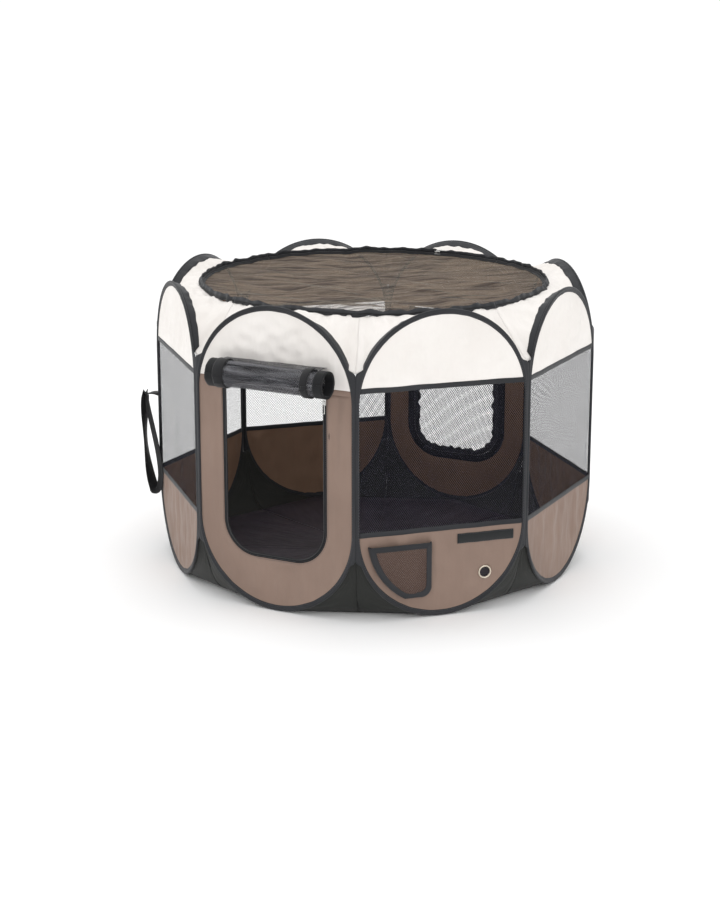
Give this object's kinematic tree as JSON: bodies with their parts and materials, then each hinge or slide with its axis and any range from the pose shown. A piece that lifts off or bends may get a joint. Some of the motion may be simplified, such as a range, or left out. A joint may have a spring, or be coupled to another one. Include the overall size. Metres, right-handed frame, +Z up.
{
  "type": "pet playpen",
  "caption": "Octagonal pop-up pet playpen: sprung hoops in cloth and mesh, zipped doors, mesh roof, pocket, bottle eyelet and carry strap; folds at its edges.",
  "frame": {"origin": "middle of the floor's underside", "axes": "+Z up, -Y out of the front panel, which has the open doorway"},
  "size_m": [0.8786, 0.8935, 0.6],
  "materials": {
    "hoop": "sprung wire",
    "binding": "folded polyester binding tape",
    "cream_cloth": "coated polyester cloth, cream",
    "taupe_cloth": "coated polyester cloth, taupe",
    "mesh": "open knitted mesh, black",
    "floor_cloth": "coated nylon, near black",
    "webbing": "woven webbing",
    "zip_tape": "zip tape with a nylon coil",
    "slider_metal": "plated zinc",
    "eyelet_metal": "nickel-plated brass",
    "hook_strip": "hook-and-loop tape"
  },
  "bodies": {
    "front_panel": {"front_hoop": "hoop", "front_binding": "binding", "front_top_cloth": "cream_cloth", "front_lower_cloth": "taupe_cloth", "front_door_zip": "zip_tape", "floor_sheet": "floor_cloth", "floor_gussets": "floor_cloth", "cover_skirt": "cream_cloth", "top_zip": "zip_tape", "top_mesh": "mesh"},
    "front_right_panel": {"front_right_hoop": "hoop", "front_right_binding": "binding", "front_right_top_cloth": "cream_cloth", "front_right_mesh": "mesh", "front_right_lower_cloth": "taupe_cloth", "pocket_mesh": "mesh", "pocket_binding": "binding", "bottle_eyelet": "eyelet_metal", "bottle_strip": "hook_strip"},
    "right_panel": {"right_hoop": "hoop", "right_binding": "binding", "right_top_cloth": "cream_cloth", "right_mesh": "mesh", "right_lower_cloth": "taupe_cloth"},
    "back_right_panel": {"back_right_hoop": "hoop", "back_right_binding": "binding", "back_right_top_cloth": "cream_cloth", "back_right_mesh": "mesh", "back_right_lower_cloth": "taupe_cloth"},
    "back_panel": {"back_hoop": "hoop", "back_binding": "binding", "back_top_cloth": "cream_cloth", "back_lower_cloth": "taupe_cloth", "back_door_zip": "zip_tape"},
    "back_left_panel": {"back_left_hoop": "hoop", "back_left_binding": "binding", "back_left_top_cloth": "cream_cloth", "back_left_mesh": "mesh", "back_left_lower_cloth": "taupe_cloth"},
    "left_panel": {"left_hoop": "hoop", "left_binding": "binding", "left_top_cloth": "cream_cloth", "left_mesh": "mesh", "left_lower_cloth": "taupe_cloth"},
    "front_left_panel": {"front_left_hoop": "hoop", "front_left_binding": "binding", "front_left_top_cloth": "cream_cloth", "front_left_mesh": "mesh", "front_left_lower_cloth": "taupe_cloth"},
    "front_door": {"front_door_roll": "mesh", "front_door_ties": "webbing"},
    "front_door_slider": {"front_door_slider": "slider_metal"},
    "back_door": {"back_door_mesh": "mesh", "back_door_edging": "binding"},
    "back_door_slider": {"back_door_slider": "slider_metal"},
    "top_zip_slider": {"top_zip_slider": "slider_metal"},
    "carry_strap": {"carry_strap": "webbing"}
  },
  "joints": [
    {"name": "fold", "type": "hinge", "parent": "front_panel", "child": "front_right_panel", "pos_m": [0.16943, -0.40904, 0.3], "axis": [0, 0, 1], "range_deg": [0, 135], "deforming": ["floor_sheet", "floor_gussets", "cover_skirt", "top_zip", "top_mesh", "top_zip_slider"]},
    {"name": "front_right_to_right", "type": "hinge", "parent": "front_right_panel", "child": "right_panel", "pos_m": [0.41494, -0.17187, 0.3], "axis": [0, 0, 1], "range_deg": [-135, 0]},
    {"name": "right_to_back_right", "type": "hinge", "parent": "right_panel", "child": "back_right_panel", "pos_m": [0.40904, 0.16943, 0.3], "axis": [0, 0, 1], "range_deg": [0, 135]},
    {"name": "back_right_to_back", "type": "hinge", "parent": "back_right_panel", "child": "back_panel", "pos_m": [0.17187, 0.41494, 0.3], "axis": [0, 0, 1], "range_deg": [-135, 0]},
    {"name": "front_to_front_left", "type": "hinge", "parent": "front_panel", "child": "front_left_panel", "pos_m": [-0.17187, -0.41494, 0.3], "axis": [0, 0, 1], "range_deg": [0, 135]},
    {"name": "front_left_to_left", "type": "hinge", "parent": "front_left_panel", "child": "left_panel", "pos_m": [-0.40904, -0.16943, 0.3], "axis": [0, 0, 1], "range_deg": [-135, 0]},
    {"name": "left_to_back_left", "type": "hinge", "parent": "left_panel", "child": "back_left_panel", "pos_m": [-0.41494, 0.17187, 0.3], "axis": [0, 0, 1], "range_deg": [0, 135]},
    {"name": "front_door_lift", "type": "hinge", "parent": "front_panel", "child": "front_door", "pos_m": [0, -0.41564, 0.4946], "axis": [-1, 0, 0], "range_deg": [0, 60]},
    {"name": "front_zip_slide", "type": "slide", "parent": "front_panel", "child": "front_door_slider", "axis": [0, 0, -1], "range_m": [0, 0.24]},
    {"name": "back_door_swing", "type": "hinge", "parent": "back_panel", "child": "back_door", "pos_m": [0, 0.41404, 0.4415], "axis": [1, 0, 0], "range_deg": [0, 100]},
    {"name": "back_zip_slide", "type": "slide", "parent": "back_panel", "child": "back_door_slider", "axis": [0, 0, -1], "range_m": [0, 0.24]},
    {"name": "top_zip_travel", "type": "hinge", "parent": "back_panel", "child": "top_zip_slider", "pos_m": [0, 0, 0.578], "axis": [0, 0, 1], "range_deg": [-10, 10]},
    {"name": "carry_strap_swing", "type": "hinge", "parent": "front_left_panel", "child": "carry_strap", "pos_m": [-0.41866, -0.17341, 0.339], "axis": [-0.3827, 0.9239, 0], "range_deg": [0, 90]}
  ],
  "couplings": [
    {"joint": "front_right_to_right", "follows": "fold", "ratio": -1},
    {"joint": "right_to_back_right", "follows": "fold", "ratio": 1},
    {"joint": "back_right_to_back", "follows": "fold", "ratio": -1},
    {"joint": "front_to_front_left", "follows": "fold", "ratio": 1},
    {"joint": "front_left_to_left", "follows": "fold", "ratio": -1},
    {"joint": "left_to_back_left", "follows": "fold", "ratio": 1}
  ]
}
